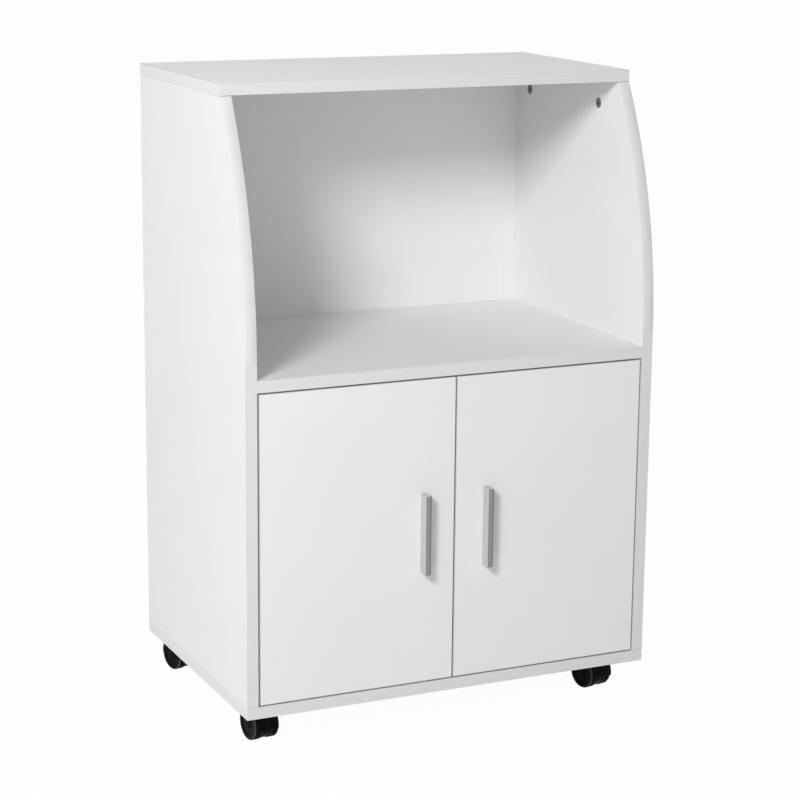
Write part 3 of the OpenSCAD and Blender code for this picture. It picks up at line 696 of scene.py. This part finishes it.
class CART_OT_handles(bpy.types.Operator):
    """Make the two bar handles and dress their screws"""

    bl_idname = "cart.handles"
    bl_label = "Handles"
    bl_options = {"REGISTER", "UNDO"}

    def execute(self, context):
        looks = context.scene.cart_metal
        silver = satin_silver(looks)
        screws = plated("Zinc_plated_screw", tuple(looks.screw_colour), 0.38, (900.0, 900.0, 900.0))
        for side in SIDES:
            low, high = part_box(side + "_handle")
            bar = prism(side + "_bar_handle", handle_section(low, high, looks.crown_points), low.z, high.z)
            give(bar, silver)
            bar.data.shade_smooth()
            round_edges(bar, looks.handle_round, segments=3, weld=False)
            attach(bar, side + "_door_leaf")
            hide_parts(side + "_handle")
            give(NODES[side + "_handle_screws"], screws)
        return {"FINISHED"}


class CART_OT_joinery(bpy.types.Operator):
    """Dress the cam locks, bolts and dowels"""

    bl_idname = "cart.joinery"
    bl_label = "Board Joints"
    bl_options = {"REGISTER", "UNDO"}

    def execute(self, context):
        looks = context.scene.cart_metal
        give(NODES["cam_locks"], cast_zinc(looks))
        round_edges(NODES["cam_locks"], looks.press_round)
        bolt = plated("Bolt_steel", tuple(looks.steel_colour), 0.32, (120.0, 2600.0, 2600.0))
        give(NODES["cam_bolts"], bolt)
        give(NODES["wood_dowels"], beech())
        return {"FINISHED"}


class CART_OT_hinges(bpy.types.Operator):
    """Dress the door hinges, their plates and screws"""

    bl_idname = "cart.hinges"
    bl_label = "Hinges"
    bl_options = {"REGISTER", "UNDO"}

    def execute(self, context):
        looks = context.scene.cart_metal
        nickel = plated("Nickel_plate", tuple(looks.nickel_colour), 0.30, (2400.0, 160.0, 2400.0))
        pin = plated("Pin_steel", tuple(looks.steel_colour), 0.26, (2600.0, 2600.0, 120.0))
        screw = plated("Hinge_screw", tuple(looks.screw_colour), 0.36, SCREW_GRAIN)
        for side in SIDES:
            for level in LEVELS:
                for kind in ("cup", "arm", "plate"):
                    fitting = NODES[f"{side}_{level}_hinge_{kind}"]
                    give(fitting, nickel)
                    round_edges(fitting, looks.press_round)
            give(NODES[side + "_hinge_pins"], pin)
            give(NODES[side + "_cup_screws"], screw)
        for node in ("hinge_plate_screws", "hinge_arm_screws"):
            give(NODES[node], screw)
        return {"FINISHED"}


class CART_OT_catch(bpy.types.Operator):
    """Dress the magnetic catch and its strikes"""

    bl_idname = "cart.catch"
    bl_label = "Door Catch"
    bl_options = {"REGISTER", "UNDO"}

    def execute(self, context):
        boards, metal = context.scene.cart_boards, context.scene.cart_metal
        give(NODES["door_catch"], white_moulding(boards))
        round_edges(NODES["door_catch"], metal.press_round)
        give(NODES["catch_magnets"], sintered_magnet())
        give(NODES["catch_screws"], plated("Catch_screw", tuple(metal.screw_colour), 0.36, SCREW_GRAIN))
        strike = plated("Strike_plate", tuple(metal.nickel_colour), 0.28, (1800.0, 1800.0, 300.0))
        for side in SIDES:
            give(NODES[side + "_catch_strike"], strike)
            round_edges(NODES[side + "_catch_strike"], metal.press_round)
        return {"FINISHED"}


def wheel_profile(radius, width):
    """Half section of a wheel as (radius, x): x = 0 is the face beside the web."""
    edge, soft = WHEEL_EDGE, WHEEL_SOFT
    inner = radius - WHEEL_RIM
    dished = width - WHEEL_DISH
    points = [(0, WHEEL_BORE_DEPTH), (WHEEL_BORE, WHEEL_BORE_DEPTH), (WHEEL_BORE, WHEEL_CHAMFER),
              (WHEEL_BORE + WHEEL_CHAMFER, 0), (WHEEL_HUB - edge, 0)]
    points += arc((WHEEL_HUB - edge, edge), edge, 270, 360, 3)[1:]
    points += arc((WHEEL_HUB + edge, WHEEL_HOLLOW - edge), edge, 180, 90, 3)
    points += arc((inner - edge, WHEEL_HOLLOW - edge), edge, 90, 0, 3)
    points += arc((inner + edge, edge), edge, 180, 270, 3)
    points += arc((radius - edge, edge), edge, 270, 360, 4)
    points += arc((radius - WHEEL_ROUND, width - WHEEL_ROUND), WHEEL_ROUND, 0, 90, 10)
    points += arc((WHEEL_FACE + soft, width - soft), soft, 90, 180, 3)
    points += arc((WHEEL_FACE - soft, dished + soft), soft, 0, -90, 3)
    points += arc((WHEEL_CAP + soft, dished + soft), soft, 270, 180, 3)
    points += arc((WHEEL_CAP - soft, width - soft), soft, 0, 90, 3)
    points += [(WHEEL_DIMPLE + WHEEL_CHAMFER, width), (WHEEL_DIMPLE, width - WHEEL_CHAMFER),
               (0, width - WHEEL_DIMPLE_DEPTH)]
    return points


def turned_wheel(node, radius, steps):
    """A wheel in the place of its solid: round the joint's axis, with its dished face outwards."""
    joint = JOINTS[node + "_spin"]
    centre = Vector(joint["pos_m"])
    spin = Vector(joint["axis"]).normalized()
    low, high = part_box(node)
    if ((low + high) / 2 - centre).dot(spin) < 0:
        spin = -spin
    reach = [(vertex.co - centre).dot(spin) for vertex in NODES[node].data.vertices]
    width = max(reach) - min(reach)
    upright = Vector((0, 0, 1))
    turn = Matrix((spin, upright.cross(spin), upright)).transposed().to_4x4()
    place = Matrix.Translation(centre + spin * min(reach)) @ turn
    wheel = lathe(node + "_tyred", wheel_profile(radius, width), steps, place)
    shade_smooth(wheel, WHEEL_CREASE)
    return wheel


class CART_OT_casters(bpy.types.Operator):
    """Make the caster wheels and dress the hoods, plates and axles"""

    bl_idname = "cart.casters"
    bl_label = "Casters"
    bl_options = {"REGISTER", "UNDO"}

    def execute(self, context):
        looks, metal = context.scene.cart_casters, context.scene.cart_metal
        hood = moulded_plastic("Hood_plastic", looks.plastic_colour, looks.dust_colour, 0.34)
        plate = plated("Caster_plate", tuple(metal.nickel_colour), 0.34, (1600.0, 300.0, 1600.0))
        axle = plated("Axle_steel", tuple(metal.steel_colour), 0.28, (300.0, 2600.0, 2600.0))
        give(NODES["caster_screws"], plated("Caster_screw", tuple(metal.screw_colour), 0.36, SCREW_GRAIN))
        low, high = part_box("front_left_outer_wheel")
        radius = (high.z - low.z) / 2
        worn = worn_wheel(looks, radius)
        for corner in CORNERS:
            give(NODES[corner + "_caster_fork"], hood)
            round_edges(NODES[corner + "_caster_fork"], looks.hood_round)
            give(NODES[corner + "_caster_plate"], plate)
            round_edges(NODES[corner + "_caster_plate"], metal.press_round)
            give(NODES[corner + "_axle"], axle)
            for lie in ("outer", "inner"):
                node = f"{corner}_{lie}_wheel"
                wheel = turned_wheel(node, radius, looks.wheel_steps)
                give(wheel, worn)
                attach(wheel, node + "_body")
                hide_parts(node)
        return {"FINISHED"}


# ---- studio ----


def seen_directly(tree):
    """1 for rays from the camera and for those that metal or glass sends on, else 0."""
    path = tree.nodes.new("ShaderNodeLightPath")
    value = path.outputs["Is Camera Ray"]
    for name in ("Is Glossy Ray", "Is Transmission Ray"):
        either = tree.nodes.new("ShaderNodeMath")
        either.operation = "MAXIMUM"
        tree.links.new(value, either.inputs[0])
        tree.links.new(path.outputs[name], either.inputs[1])
        value = either.outputs[0]
    return value


def studio_floor(looks):
    """A pale floor that keeps the cart's shadow and otherwise shows as plain white."""
    bm = bmesh.new()
    half = looks.floor_size / 2
    bm.faces.new([bm.verts.new((x * half, y * half, 0)) for x, y in ((-1, -1), (1, -1), (1, 1), (-1, 1))])
    floor = object_from("studio_floor", bm)
    material = bpy.data.materials.new("Studio_floor")
    material.use_nodes = True
    tree = material.node_tree
    tree.nodes.clear()
    out = tree.nodes.new("ShaderNodeOutputMaterial")
    paper = tree.nodes.new("ShaderNodeBsdfDiffuse")
    paper.inputs["Color"].default_value = FLOOR_PAPER
    glow = tree.nodes.new("ShaderNodeEmission")
    glow.inputs["Color"].default_value = WHITE
    part = tree.nodes.new("ShaderNodeMath")
    part.operation = "MULTIPLY"
    part.inputs[1].default_value = looks.floor_glow
    tree.links.new(seen_directly(tree), part.inputs[0])
    mix = tree.nodes.new("ShaderNodeMixShader")
    tree.links.new(part.outputs[0], mix.inputs[0])
    tree.links.new(paper.outputs[0], mix.inputs[1])
    tree.links.new(glow.outputs[0], mix.inputs[2])
    tree.links.new(mix.outputs[0], out.inputs["Surface"])
    give(floor, material)


def toward(azimuth, height):
    """Direction from the cart to a lamp, by its angle left of the doors' normal and its height."""
    level = math.cos(height)
    return Vector((-math.sin(azimuth) * level, -math.cos(azimuth) * level, math.sin(height)))


def sky_part(tree, direction, gain, lift):
    """Brightness of the sky along one direction, never below nought."""
    place = tree.nodes.new("ShaderNodeTexCoord")
    along = tree.nodes.new("ShaderNodeVectorMath")
    along.operation = "DOT_PRODUCT"
    along.inputs[1].default_value = direction
    tree.links.new(place.outputs["Generated"], along.inputs[0])
    level = tree.nodes.new("ShaderNodeMath")
    level.operation = "MULTIPLY_ADD"
    level.inputs[1].default_value = gain
    level.inputs[2].default_value = lift
    tree.links.new(along.outputs["Value"], level.inputs[0])
    never_dark = tree.nodes.new("ShaderNodeMath")
    never_dark.operation = "MAXIMUM"
    never_dark.inputs[1].default_value = 0.0
    tree.links.new(level.outputs[0], never_dark.inputs[0])
    return never_dark.outputs[0]


def studio_sky(looks):
    """Soft light from the left, the front and the rear right; the camera and metal see plain white."""
    world = bpy.data.worlds.new("Studio")
    bpy.context.scene.world = world
    world.use_nodes = True
    tree = world.node_tree
    tree.nodes.clear()
    out = tree.nodes.new("ShaderNodeOutputWorld")
    sky = tree.nodes.new("ShaderNodeBackground")
    white = tree.nodes.new("ShaderNodeBackground")
    white.inputs["Strength"].default_value = 1.0
    white.inputs["Color"].default_value = WHITE
    half = looks.left_level / 2
    level = sky_part(tree, FROM_LEFT, half, half)
    for direction, gain in ((FROM_FRONT, looks.front_level), (FROM_REAR_RIGHT, looks.rear_level)):
        both = tree.nodes.new("ShaderNodeMath")
        both.operation = "ADD"
        tree.links.new(level, both.inputs[0])
        tree.links.new(sky_part(tree, direction, gain, 0.0), both.inputs[1])
        level = both.outputs[0]
    tree.links.new(level, sky.inputs["Strength"])
    mix = tree.nodes.new("ShaderNodeMixShader")
    tree.links.new(seen_directly(tree), mix.inputs[0])
    tree.links.new(sky.outputs[0], mix.inputs[1])
    tree.links.new(white.outputs[0], mix.inputs[2])
    tree.links.new(mix.outputs[0], out.inputs["Surface"])


def key_lamp(looks):
    """The round soft key lamp at the front left."""
    light = bpy.data.lights.new("Key", "AREA")
    light.shape = "DISK"
    light.size = looks.key_width
    # P watts from d metres away light a white face turned to them to a brightness of P / (pi * d) ** 2
    light.energy = looks.key_level * (math.pi * looks.key_distance) ** 2
    lamp = bpy.data.objects.new("Key", light)
    away = toward(looks.key_azimuth, looks.key_height)
    lamp.location = KEY_TARGET + away * looks.key_distance
    lamp.rotation_euler = away.to_track_quat("Z", "Y").to_euler()
    bpy.context.scene.collection.objects.link(lamp)


def photo_camera(looks):
    """The camera, at the photograph's viewing angle."""
    data = bpy.data.cameras.new("Camera")
    data.sensor_width = SENSOR_WIDTH
    data.lens = looks.camera_lens
    data.clip_end = 100.0
    yaw, pitch, roll = looks.camera_yaw, looks.camera_pitch, looks.camera_roll
    ahead = Vector((math.sin(yaw) * math.cos(pitch), math.cos(yaw) * math.cos(pitch), -math.sin(pitch)))
    level = Vector((math.cos(yaw), -math.sin(yaw), 0.0))
    above = level.cross(ahead)
    right = math.cos(roll) * level + math.sin(roll) * above
    up = math.cos(roll) * above - math.sin(roll) * level
    camera = bpy.data.objects.new("Camera", data)
    turn = Matrix((right, up, -ahead)).transposed().to_4x4()
    camera.matrix_world = Matrix.Translation(Vector(looks.camera_place)) @ turn
    bpy.context.scene.collection.objects.link(camera)
    bpy.context.scene.camera = camera


class CART_OT_studio(bpy.types.Operator):
    """Set up the floor, the light and the camera"""

    bl_idname = "cart.studio"
    bl_label = "Studio"
    bl_options = {"REGISTER", "UNDO"}

    def execute(self, context):
        looks = context.scene.cart_studio
        context.scene.view_settings.view_transform = "Standard"
        photo_camera(looks)
        studio_floor(looks)
        studio_sky(looks)
        key_lamp(looks)
        return {"FINISHED"}


class CART_PT_panel(bpy.types.Panel):
    """Buttons that build the cart's looks"""

    bl_label = "Microwave Cart"
    bl_idname = "CART_PT_panel"
    bl_space_type = "VIEW_3D"
    bl_region_type = "UI"
    bl_category = "Cart"

    def draw(self, context):
        for operator in OPERATORS:
            self.layout.operator(operator.bl_idname)
        for group in GROUPS:
            box = self.layout.box()
            box.label(text=group.replace("_", " ").title())
            settings = getattr(context.scene, group)
            for name in settings.bl_rna.properties.keys():
                if name not in ("rna_type", "name"):
                    box.prop(settings, name)


OPERATORS = (CART_OT_studio, CART_OT_boards, CART_OT_handles, CART_OT_joinery, CART_OT_hinges,
             CART_OT_catch, CART_OT_casters)
GROUPS = {
    "cart_boards": CartBoardLooks,
    "cart_metal": CartMetalLooks,
    "cart_casters": CartCasterLooks,
    "cart_studio": CartStudioLooks,
}


def register():
    for group in GROUPS.values():
        bpy.utils.register_class(group)
    for name, group in GROUPS.items():
        setattr(bpy.types.Scene, name, PointerProperty(type=group))
    for operator in OPERATORS:
        bpy.utils.register_class(operator)
    bpy.utils.register_class(CART_PT_panel)


def unregister():
    bpy.utils.unregister_class(CART_PT_panel)
    for operator in reversed(OPERATORS):
        bpy.utils.unregister_class(operator)
    for name, group in GROUPS.items():
        delattr(bpy.types.Scene, name)
        bpy.utils.unregister_class(group)


def main():
    """Makes every piece in order."""
    register()
    bpy.ops.cart.studio()
    bpy.ops.cart.boards()
    bpy.ops.cart.handles()
    bpy.ops.cart.joinery()
    bpy.ops.cart.hinges()
    bpy.ops.cart.catch()
    bpy.ops.cart.casters()


if __name__ == "__main__":
    main()
